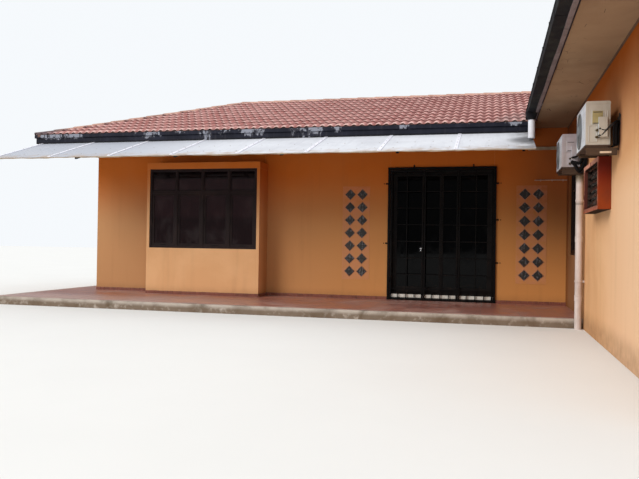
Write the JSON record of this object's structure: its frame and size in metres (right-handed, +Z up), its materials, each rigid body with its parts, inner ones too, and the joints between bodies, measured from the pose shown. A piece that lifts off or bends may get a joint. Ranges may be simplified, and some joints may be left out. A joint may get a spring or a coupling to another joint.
{
  "type": "bungalow",
  "caption": "Single-storey L-shaped house with hipped tiled roofs, a tiled verandah under a lean-to awning, a window bay, a sliding door and a steel door grille with a hinged leaf.",
  "frame": {"origin": "ground level at the inner corner of the L, where the front wall meets the projecting wing's wall", "axes": "+Z up, -X along the front wall to the left end, -Y out of the front wall towards the court, +Y into the house"},
  "size_m": [17.86, 14.79, 5.0854],
  "materials": {
    "concrete": "bare trowelled concrete",
    "floor_tiles": "red-brown floor tiles",
    "wall_paint": "orange emulsion on cement render",
    "ceiling_paint": "matt white paint",
    "soffit_board": "beige painted boards",
    "fascia_paint": "dark blue-black paint, peeling",
    "roof_tiles": "pinkish red roof tiles",
    "gutter_metal": "dark painted sheet",
    "white_pipe": "white plastic pipe",
    "awning_board": "white weathered sheet",
    "strip_metal": "pale grey strip",
    "dark_steel": "black gloss paint on steel",
    "threshold": "white glazed threshold",
    "door_timber": "dark brown frame",
    "door_glass": "dark tinted glass",
    "window_timber": "dark brown frame",
    "window_glass": "purple-brown tinted glass",
    "slate_tile": "dark riven slate tiles",
    "box_paint": "reddish orange render",
    "louvre_glass": "dark louvre blades",
    "unit_casing": "off-white casing",
    "bracket_steel": "weathered grey steel",
    "lagging": "black foam lagging"
  },
  "bodies": {
    "house": {"main_floor_slab": "concrete", "wing_floor_slab": "concrete", "verandah_floor": "floor_tiles", "verandah_kerb": "concrete", "front_wall_left": "wall_paint", "front_wall_over_bay": "wall_paint", "front_wall_middle": "wall_paint", "front_wall_over_door": "wall_paint", "front_wall_right": "wall_paint", "left_end_wall": "wall_paint", "main_rear_wall": "wall_paint", "bay_sill_wall": "wall_paint", "bay_side_walls": "wall_paint", "bay_top_slab": "wall_paint", "wing_court_wall": "wall_paint", "wing_front_wall": "wall_paint", "wing_outer_wall": "wall_paint", "wing_rear_wall": "wall_paint", "ceiling_beam": "ceiling_paint", "ceilings": "ceiling_paint", "main_soffit": "soffit_board", "wing_soffit": "soffit_board", "main_fascia": "fascia_paint", "wing_fascia": "fascia_paint", "main_roof": "roof_tiles", "wing_roof": "roof_tiles", "ridge_caps": "roof_tiles", "wing_gutter": "gutter_metal", "gutter_outlet": "white_pipe", "downpipe": "white_pipe", "awning_sheets": "awning_board", "awning_strips": "strip_metal", "awning_frame": "dark_steel", "door_sill": "threshold", "door_frame": "door_timber", "fixed_leaf": "door_timber", "fixed_glass": "door_glass", "grille_left_post": "dark_steel", "grille_right_post": "dark_steel", "grille_head": "dark_steel", "grille_folding_leaves": "dark_steel", "wall_tiles": "slate_tile", "bay_window_frame": "window_timber", "bay_sashes": "window_timber", "bay_glass": "window_glass", "window_frames": "window_timber", "window_glass": "window_glass", "window_box": "box_paint", "box_louvres": "louvre_glass", "ac_units": "unit_casing", "ac_brackets": "bracket_steel", "ac_pipes": "lagging"},
    "gate_leaf": {"grille_pass_leaf": "dark_steel"},
    "door_leaf": {"sliding_leaf": "door_timber", "sliding_glass": "door_glass"}
  },
  "joints": [
    {"name": "grille_hinge", "type": "hinge", "parent": "house", "child": "gate_leaf", "pos_m": [-3.26, -0.052, 0.15], "axis": [0, 0, -1], "range_deg": [0, 105]},
    {"name": "door_slide", "type": "slide", "parent": "house", "child": "door_leaf", "axis": [1, 0, 0], "range_m": [0, 0.89]}
  ]
}
